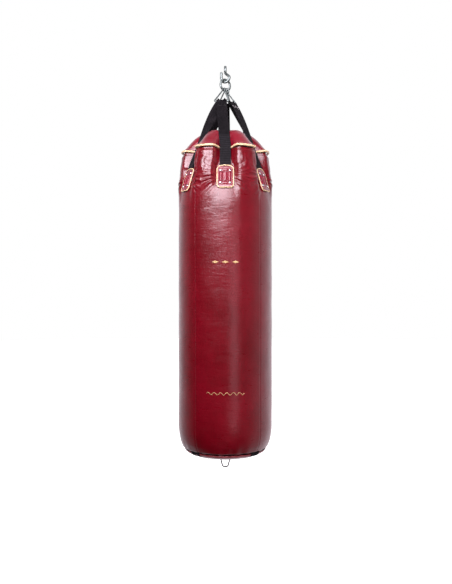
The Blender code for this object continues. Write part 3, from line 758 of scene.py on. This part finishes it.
def make_bottom():
    profile = smooth_path(BOTTOM, 10)
    azimuths = np.arange(0.0, 360.0, 1.5)
    points = around_axis(azimuths, profile[:, :1], profile[:, 1:])
    rim = bell(profile[:, :1] - BOTTOM[-1, 0], 0.01)
    pleat = BASE_PLEAT * wave(azimuths, 29, 114.6 * wave(azimuths, 5)) * rim
    points[..., 2] += pleat + 0.0005 * lumps(points, 0.05, 4.0) * step(profile[:, :1] / 0.03)
    mesh = grid_mesh(points[::-1], wrap_cols=True, ends=(-1,))
    obj = piece("base", mesh, UNDERLIT_BASE_LEATHER, "burgundy_leather", "bottom_cap")
    solidify(obj, LEATHER)
    # The welt is coloured near-black: painted shade filling the slit between the wall's edge and the base.
    azimuths = np.arange(0.0, 360.0, 1.0)
    radius = WELT_AT[0] + 0.0006 * wave(azimuths, 23)
    path = around_axis(azimuths, radius, WELT_AT[1] + 0.0005 * wave(azimuths, 17, 57.3))
    scale = 1.0 + 0.16 * lumps(path, 0.012, 6.0)
    mesh = sweep(path, circle(WELT_R, 12), outward(azimuths), True, scale)
    piece("base_welt", mesh, SLIT_SHADE_LEATHER, "burgundy_leather", "bottom_welt")


# ---- webbing and patches

def leg_frame(azimuth):
    """Axes on the flat a patch lies on: x across, y up the wall, z outwards."""
    low, middle, high = WALL[8:11]
    out, across = radial(azimuth), along(azimuth)
    up = (out * (high[2] - low[2]) + Vector((0, 0, high[0] - low[0]))).normalized()
    centre = out * middle[2] + Vector((0, 0, UNDERSIDE_Z + middle[0]))
    placed = Matrix((across, up, across.cross(up))).transposed().to_4x4()
    placed.translation = centre
    return placed


def on_patch(placed, x, y, z):
    """Points on a leg's patch, which curves round the wall."""
    local = np.stack([x, y, z - 0.8 * x * x / (2 * WALL_R_AT_PATCH), np.ones_like(x)], -1)
    return (local @ np.array(placed).T)[..., :3]


def web_section():
    """Flat tape with a rounded, slightly thicker selvedge."""
    half, thick = WEB_WIDTH / 2, WEB_THICK / 2
    x = np.linspace(half - 0.0008, 0.0008 - half, 25)
    top = np.stack([x, thick * (1.0 + 0.12 * bell(half - np.abs(x) - 0.002, 0.0012))], -1)
    edge = np.array(((0.0001 - half, thick * 0.75), (-half, thick * 0.35)))
    outline = np.concatenate([top, edge, edge[::-1] * (1.0, -1.0)])
    return np.concatenate([outline, -outline])


def leg_stations(azimuth, start, bar_direction):
    """Centre, sideways direction and crosswise curve from the bar down to under the patch."""
    placed = leg_frame(azimuth)
    rim_r = PIPING_GROOVE[0] + PIPING_R + WEB_THICK / 2 + 0.0012
    rim = radial(azimuth) * rim_r + Vector((0, 0, UNDERSIDE_Z + PIPING_GROOVE[1] + 0.002))
    turn = (azimuth - bar_direction + 90.0) % 180.0 - 90.0
    stations = []
    for share in np.arange(1, 9) / 8:
        bulge = radial(azimuth) * LEG_BULGE * math.sin(math.pi * share ** 0.8)
        swing = along(bar_direction + turn * step(share))
        stations.append((*(start.lerp(rim, share) + bulge), *swing, 0.0))
    side = along(azimuth)
    if side.dot(swing) < 0:
        side = -side
    lift = WEB_GAP + WEB_THICK / 2
    for y, bend in ((0.062, 2.0), (0.044, 4.0), (0.02, 5.0), (-0.027, 5.0)):
        stations.append((*(placed @ Vector((0.0, y, lift))), *side, bend))
    return stations


def make_webbing(link):
    """One length up a leg, over its link's bar and down the next leg; returns the line for sewing."""
    name, _, centre, direction, outer, inner, _ = link
    bar = Vector((*centre, LINK_BAR_Z))
    fold_r = LINK_WIRE + WEB_GAP + WEB_THICK / 2
    fold = []
    for angle in np.radians(np.arange(25, 206, 12)):
        spoke = radial(direction) * math.cos(angle) + Vector((0, 0, math.sin(angle)))
        fold.append((*(bar + spoke * fold_r), *along(direction), 0.0))
    down_outer = leg_stations(outer, Vector(fold[0][:3]), direction)
    down_inner = leg_stations(inner, Vector(fold[-1][:3]), direction)
    path = smooth_path(down_outer[::-1] + fold + down_inner, 9)
    centre, across = path[:, :3], path[:, 3:6]
    run = lengths(centre)
    up = frames(centre, across)[2]
    inside = np.array((0, 0, centre[:, 2].mean() - 0.2))
    facing = np.sign(np.sum(up * (centre - inside), axis=1).mean())
    height = centre[:, 2] - UNDERSIDE_Z
    ribs = 0.00075 * (np.abs(np.sin(np.pi * run / RIB_PITCH)) ** 0.8 - 0.55)
    ribs = ribs * step((RIBBED[1] + 0.007 - height) / 0.01) * step((height - RIBBED[0]) / 0.003)
    mesh = sweep(centre, web_section(), across, bend=path[:, 6] * facing, ribs=ribs)
    piece(name + "_legs", mesh, BLACK_WEB, "black_webbing", name + "_webbing")
    return centre, across, up * facing, run, run[np.argmax(centre[:, 2])]


def sewn(turns, pitch, show):
    """Start and end of each stitch along corners (u, v); show is the share of the pitch on top."""
    hidden = (1.0 - show) / 2
    for (u0, v0), (u1, v1) in zip(turns, turns[1:]):
        count = max(2, round(math.hypot(u1 - u0, v1 - v0) / pitch))
        for k in range(count):
            shares = ((k + hidden) / count, (k + 1.0 - hidden) / count)
            yield [(u0 + (u1 - u0) * share, v0 + (v1 - v0) * share) for share in shares]


def link_stitching(legs):
    """Sewn rows through both layers below each link: a zigzag on the right, a bar elsewhere."""
    laid = {False: [], True: []}
    half = 0.0165
    for (name, *_), (centre, across, up, run, top) in zip(LINKS, legs):
        if name == "right":
            turns = [(-half + half / 2 * k, 0.026 + 0.01 * (k % 2)) for k in range(5)]
        else:
            turns = [(-half, 0.034), (half, 0.034)]
        for side in (-1, 1):
            for ends in sewn(turns, pitch=0.0034, show=0.76):
                points = []
                for u, v in ends:
                    point, sideways, normal = (
                        np.array([np.interp(top + side * v, run, line[:, k]) for k in range(3)])
                        for line in (centre, across, up)
                    )
                    points += [point + sideways * u + normal * (WEB_THICK / 2), normal]
                laid[name == "front" and side < 0].append((points[0], points[2], points[1]))
    for front, name, material in ((False, "link_stitching", PALE_THREAD),
                                  (True, "front_stitching", BLACK_THREAD)):
        piece(name, stitches(laid[front], HEAVY_THREAD_R), material, "black_webbing")


def patch_relief(x, y):
    """Height of a patch's face: sewn channels with padding puffed up between them."""
    # Millimetres down to the last line.
    ax, ay = np.abs(x) * 1000, np.abs(y) * 1000
    (inner_x, inner_y), (outer_x, outer_y) = np.array((INNER_ROW, OUTER_ROW)) * 1000
    rivet_x, rivet_y = np.array(RIVET_AT) * 1000
    channel = 0.0
    for row_x, row_y, end_x, end_y in ((inner_x, inner_y, 22.5, 21.0), (outer_x, outer_y, 23.0, 31.5)):
        channel = np.maximum(channel, bell(ax - row_x, 0.95) * step((end_y - ay) / 1.5))
        channel = np.maximum(channel, bell(ay - row_y, 0.95) * step((end_x - ax) / 1.5))
    bars = np.maximum(bell(ax, 6.0), bell(ax - 15.5, 4.2)) * step((19.5 - ay) / 3.0)
    pads = bell(ay - 25.0, 3.2) * step((10.0 - ax) / 3.0)
    seat = np.minimum(1.0, bell(ax - rivet_x, 4.5) * bell(ay - rivet_y, 4.5) * 1.3)
    edge = step((28.0 - ax) / 4.0) * step((38.0 - ay) / 4.0)
    return (0.5 * edge + 2.3 * bars + 1.7 * pads - 1.6 * channel - 0.6 * seat) * 0.001


def patch_face(placed, tag):
    half_x, half_y = PATCH_HALF
    y = np.linspace(-1.0, 1.0, 77)[:, None] * half_y
    over = np.clip(np.abs(y) - (half_y - PATCH_CORNER), 0, PATCH_CORNER)
    width = half_x - PATCH_CORNER + np.sqrt(np.maximum(PATCH_CORNER ** 2 - over ** 2, 0))
    x = np.linspace(-1.0, 1.0, 57) * width
    y = y + 0 * x
    mesh = grid_mesh(on_patch(placed, x, y, PATCH_LIFT + patch_relief(x, y)))
    obj = piece("patch_" + tag, mesh, LIGHTENED_PATCH_LEATHER, "patch_leather", "strap_patch_" + tag)
    solidify(obj, PATCH_THICK)


def patch_edging(placed, tag):
    """Piping round a patch, arched over the leg at its top."""
    x, y = (half + PATCH_PIPING_R for half in PATCH_HALF)
    corners = [Vector(c) for c in ((-x, -y, 0), (x, -y, 0), (x, y, 0), (-x, y, 0))]
    line = evenly(round_corners(corners, [PATCH_CORNER + PATCH_PIPING_R] * 4, 8), 220)
    arch = bell(line[:, 0], 0.016) * step((line[:, 1] - 0.03) / 0.008)
    path = on_patch(placed, line[:, 0], line[:, 1] + 0.0022 * arch, 0.0034 + 0.0016 * arch)
    path = path + 0.00025 * np.stack([lumps(path, 0.01, k) for k in (1.0, 5.0, 8.0)], -1)
    mesh = sweep(path, circle(PATCH_PIPING_R, 12), None, True)
    piece("edging_" + tag, mesh, CREAM, "cream_piping", "patch_piping_" + tag)


def patch_rivets(placed, tag):
    foot = circle(RIVET_R, 24)
    for number, (sx, sy) in enumerate(((-1, -1), (1, -1), (-1, 1), (1, 1)), 1):
        rings = []
        for share, rise in RIVET_PROFILE[::-1]:
            x, y = (foot * share + np.array((sx, sy)) * RIVET_AT).T
            rings.append(on_patch(placed, x, y, PATCH_LIFT + 0.0001 + RIVET_RISE * rise + 0 * x))
        mesh = grid_mesh(np.array(rings), wrap_cols=True, ends=(0, -1))
        piece(f"rivet_dome_{tag}_{number}", mesh, BRIGHT, "rivet_steel", f"rivet_{tag}_{number}")


def patch_threads(placed):
    """Stitches in the sewn rows, left out under the rivets."""
    laid = []
    for (row_x, row_y), end_x, end_y in ((INNER_ROW, 0.022, 0.0185), (OUTER_ROW, 0.022, 0.03)):
        lines = [((s * row_x, -end_y), (s * row_x, end_y)) for s in (-1, 1)]
        lines += [((-end_x, s * row_y), (end_x, s * row_y)) for s in (-1, 1)]
        for ends in (ends for line in lines for ends in sewn(line, pitch=0.0031, show=0.72)):
            x, y = np.array(ends).T
            gap = [np.abs(np.abs(v) - at).max() for v, at in zip((x, y), RIVET_AT)]
            if sum(gap) >= 0.006:
                start, end = on_patch(placed, x, y, PATCH_LIFT + patch_relief(x, y))
                laid.append((start, end, np.array(placed)[:3, 2]))
    return laid


def make_patches():
    laid = []
    for azimuth in LEGS:
        placed, tag = leg_frame(azimuth), f"{azimuth:03d}"
        patch_face(placed, tag)
        patch_edging(placed, tag)
        patch_rivets(placed, tag)
        laid += patch_threads(placed)
    piece("patch_stitching", stitches(laid, FINE_THREAD_R), RED_THREAD, "patch_leather")


def on_wall(x, height):
    """Point and outward normal on the front wall, x metres round from the front."""
    azimuth = math.degrees(x / BODY_R)
    point = wall_grid(np.array([azimuth]), np.array([height]), lift=0.0001)[0, 0]
    return point, np.array(radial(azimuth))


def embroidery():
    """Three satin-stitched diamonds and a plain wavy line of chain stitch on the front."""
    laid = []

    def lay(x0, h0, x1, h1):
        start, normal = on_wall(x0, h0)
        laid.append((start, on_wall(x1, h1)[0], normal))

    diamond, spacing, row_h = (0.0125, 0.0052), 0.036, DIAMONDS_Z - UNDERSIDE_Z
    for middle in (-spacing, 0.0, spacing):
        for share in np.arange(-11, 12) / 12:
            x, half = middle + share * diamond[0], diamond[1] * (1.0 - abs(share))
            lay(x, row_h - half, x + 0.0004, row_h + half)
    half_line, count, low_h = 0.068, 92, WAVY_LINE_Z - UNDERSIDE_Z
    for k in range(count):
        for phase in (0.0, 0.5):
            ends = []
            for share in (0.0, 0.9):
                x = -half_line + 2 * half_line * (k + phase + share) / count
                rise = 0.0042 * math.sin(2 * math.pi * (x + half_line) / 0.0227)
                ends += [x, low_h + rise + (phase - 0.25) * 0.0018]
            lay(*ends)
    mesh = stitches(laid, HEAVY_THREAD_R, sink=0.5)
    piece("front_embroidery", mesh, GOLD_THREAD, "cream_piping")


# ---- hardware

def make_hook():
    """Small arch seen edge-on from the front, above a larger hook turned by HOOK_YAW."""
    arch = Vector((0, 0, HOOK_R - HOOK_TOP_R))
    points = [arch + Vector((0, -HOOK_TOP_R, -0.003))]
    for angle in np.linspace(0.0, math.pi, 13):
        points.append(arch + Vector((0, -math.cos(angle), math.sin(angle))) * HOOK_TOP_R)
    side = along(HOOK_YAW)
    low = Vector((0, 0, HOOK_LOW_Z + HOOK_LOW_R))
    start, end, ease = points[-1], low + side * HOOK_LOW_R, Vector((0, 0, 0.007))
    for t in np.arange(1, 10) / 10:
        bend = start * (1 - t) ** 3 + (start - ease) * 3 * t * (1 - t) ** 2
        points.append(bend + (end + ease) * 3 * t * t * (1 - t) + end * t ** 3)
    for angle in np.linspace(0.0, math.pi, 17):
        points.append(low + (side * math.cos(angle) - Vector((0, 0, math.sin(angle)))) * HOOK_LOW_R)
    for rise in (0.006, 0.0125, 0.019):
        points.append(low - side * HOOK_LOW_R + Vector((0, 0, rise)))
    path, scale = rounded_tips(smooth_path([tuple(p) for p in points], 4), HOOK_R)
    mesh = sweep(path, circle(HOOK_R, 22), scale=scale)
    piece("s_hook_wire", mesh, ZINC, "zinc_steel", "s_hook", body="hook")


def make_ring():
    """Wire ring with its weld as a low swelling."""
    degrees = np.arange(0, 360, 3.0)
    angle = np.radians(degrees)[:, None]
    path = RING_R * (np.array(along(RING_YAW)) * np.cos(angle) + np.array((0, 0, 1.0)) * np.sin(angle))
    path[:, 2] += RING_Z
    scale = 1.0 + 0.035 * bell(degrees - 205.0, 5.0)
    mesh = sweep(path, circle(RING_WIRE, 20), cyclic=True, scale=scale)
    piece("ring_wire", mesh, ZINC, "zinc_steel", "hanging_ring", body="ring")


def make_link(link):
    """Closed wire: an eye round the ring, a neck, and two sides down to a straight bar."""
    name, place, centre, direction, _, _, sides = link
    eye_r = RING_WIRE + LINK_WIRE + LINK_CLEARANCE
    wire, normal = along(RING_YAW), along(RING_YAW + 90.0)
    spoke = math.asin(place / RING_R)
    inward = Vector((0, 0, math.cos(spoke))) - wire * math.sin(spoke)
    eye = Vector((0, 0, RING_Z)) - inward * (RING_R - eye_r)
    bar = Vector((*centre, LINK_BAR_Z))
    ends = [bar + along(direction) * LINK_BAR_HALF * way for way in (-1, 1)]
    tips = [eye + normal * eye_r, eye - normal * eye_r]
    neck = inward * LINK_NECK
    corners = tips + [tips[1] - neck, ends[sides[0]], ends[sides[1]], tips[0] - neck]
    outline = round_corners(corners, [0.0065, 0.0065, 0.006, 0.0045, 0.0045, 0.006], 7)
    mesh = sweep(evenly(outline, 170), circle(LINK_WIRE, 16), cyclic=True)
    piece(name + "_link_wire", mesh, ZINC, "zinc_steel", name + "_link")


def make_bands():
    """Two bands crossed under the bag, the second passing below the first."""
    profile = smooth_path(BOTTOM, 10)

    def bottom(distance):
        return np.interp(distance, profile[:, 0], profile[:, 1])

    section = web_section() * (1.0, BAND_FLAT)
    half_thick = BAND_FLAT * WEB_THICK / 2
    for number, name, azimuth in ((0, "under", -45.0), (1, "over", 45.0)):
        d, ahead = np.linspace(0.0, 0.149, 60), 0.001
        slope = (bottom(d + ahead) - bottom(d)) / ahead
        over = 1.0 - step((d - 0.025) / 0.015)
        drop = (0.0004 + half_thick) * np.hypot(1.0, slope) + number * over * 0.0026
        half = np.stack([d, bottom(d) - drop], -1)
        up_wall = smooth_path([half[-1], (0.1522, 0.027), (0.1532, 0.0295), (0.1526, 0.0325)], 4)
        half = np.concatenate([half, up_wall[1:]])
        line = np.concatenate([half[:0:-1] * (-1.0, 1.0), half])
        path = np.array(radial(azimuth)) * line[:, :1]
        path[:, 2] += UNDERSIDE_Z + line[:, 1]
        across = np.tile(np.array(along(azimuth)), (len(path), 1))
        mesh = sweep(path, section, across)
        piece(name + "_tape", mesh, BLACK_WEB, "black_webbing", name + "_band")


def make_ring_tab():
    """Narrow webbing under the bands, looped through the tether ring."""
    half_thick = BAND_FLAT * WEB_THICK / 2
    top = -4 * (WEB_GAP + half_thick) - half_thick
    loop_r = TETHER_WIRE + 0.0005 + half_thick
    half = [(0.022, top), (0.012, top), (loop_r + 0.002, top), (loop_r, top - 0.002)]
    bend = [(loop_r * math.cos(turn), -TETHER_DROP - loop_r * math.sin(turn))
            for turn in np.linspace(0.0, math.pi, 11)]
    line = half + bend + [(-y, h) for y, h in reversed(half)]
    path = smooth_path([(0.0, y, UNDERSIDE_Z + h) for y, h in line], 4)
    section = web_section() * (TAB_WIDTH / WEB_WIDTH, BAND_FLAT)
    mesh = sweep(path, section, np.tile(np.array((1.0, 0, 0)), (len(path), 1)))
    piece("ring_stirrup", mesh, BLACK_WEB, "black_webbing", "ring_tab")


def make_tether_ring():
    low_z = TETHER_Z - TETHER_TALL
    corners = [Vector(c) for c in ((-TETHER_TOP_HALF, 0, TETHER_Z), (TETHER_TOP_HALF, 0, TETHER_Z),
                                   (TETHER_LOW_HALF, 0, low_z), (-TETHER_LOW_HALF, 0, low_z))]
    path = evenly(round_corners(corners, [0.0035, 0.0035, 0.0085, 0.0085], 8), 140)
    mesh = sweep(path, circle(TETHER_WIRE, 16), cyclic=True)
    piece("tether_ring_wire", mesh, GREY_STEEL, "tether_steel", "tether_ring", body="tether")


# ---- stage, light, camera

def emitter(name, color, strength):
    s = Shader(name)
    s.tree.nodes.remove(s.main)
    glow = s.add("Emission", {"Color": color, "Strength": strength})
    s.put(s.tree.nodes["Material Output"].inputs["Surface"], glow.outputs[0])
    return s.owner


def make_stage():
    """Pale floor and a backdrop that only the camera sees."""
    bpy.ops.mesh.primitive_circle_add(vertices=96, radius=14.0, fill_type="NGON", location=(0, 0, -2.0))
    floor = bpy.context.active_object
    floor.name = "pale_floor"
    paint = Shader("pale_floor_paint").finish(Base_Color=rgb(0.86, 0.86, 0.86), Roughness=0.9,
                                              Emission_Color=rgb(1, 1, 1), Emission_Strength=1.0)
    floor.data.materials.append(paint)
    bpy.ops.mesh.primitive_uv_sphere_add(segments=48, ring_count=24, radius=14.5, location=(0, 0, -1.0))
    dome = bpy.context.active_object
    dome.name = "white_backdrop"
    dome.data.materials.append(emitter("white_backdrop_paint", rgb(1, 1, 1), 1.0))
    for obj, ways in ((floor, ("glossy", "diffuse", "shadow")),
                      (dome, ("diffuse", "glossy", "transmission", "volume_scatter", "shadow"))):
        for way in ways:
            setattr(obj, "visible_" + way, False)


def area_light(name, azimuth, distance, height, size, power, aim, glossy):
    data = bpy.data.lights.new(name, "AREA")
    data.shape = "RECTANGLE"
    data.size, data.size_y = size
    data.energy = power
    data.color = LIGHT_COLOR
    lamp = bpy.data.objects.new(name, data)
    bpy.context.scene.collection.objects.link(lamp)
    lamp.location = radial(azimuth) * distance + Vector((0, 0, height))
    lamp.rotation_euler = (Vector((0, 0, aim)) - lamp.location).to_track_quat("-Z", "Y").to_euler()
    lamp.visible_camera = False
    lamp.visible_glossy = glossy


def make_world():
    """Bright behind and beside the bag, dim in front of it."""
    s = Shader("studio", world=True)
    way = s.add("SeparateXYZ", {"Vector": s.add("TexCoord").outputs["Generated"]})
    lean = s.math("MULTIPLY_ADD", way.outputs["X"], 0.3, way.outputs["Y"])
    bpy.context.scene.world = s.finish(Strength=s.ramp(lean, -0.35, 0.8), Color=rgb(1.0, 0.91, 0.98))


def make_camera():
    data = bpy.data.cameras.new("camera")
    data.sensor_width = 36.0
    data.lens = LENS_MM
    data.clip_end = 60.0
    camera = bpy.data.objects.new("camera", data)
    bpy.context.scene.collection.objects.link(camera)
    camera.location = CAMERA_AT
    camera.rotation_euler = (math.pi / 2, 0, 0)
    bpy.context.scene.camera = camera
    bpy.context.scene.view_settings.view_transform = "Standard"


make_camera()
make_wall()
make_crown()
make_rim_piping()
make_inside()
make_bottom()
legs = [make_webbing(link) for link in LINKS]
link_stitching(legs)
make_patches()
embroidery()
make_hook()
make_ring()
for link in LINKS:
    make_link(link)
make_bands()
make_ring_tab()
make_tether_ring()
make_stage()
make_world()
for light in LIGHTS:
    area_light(*light)
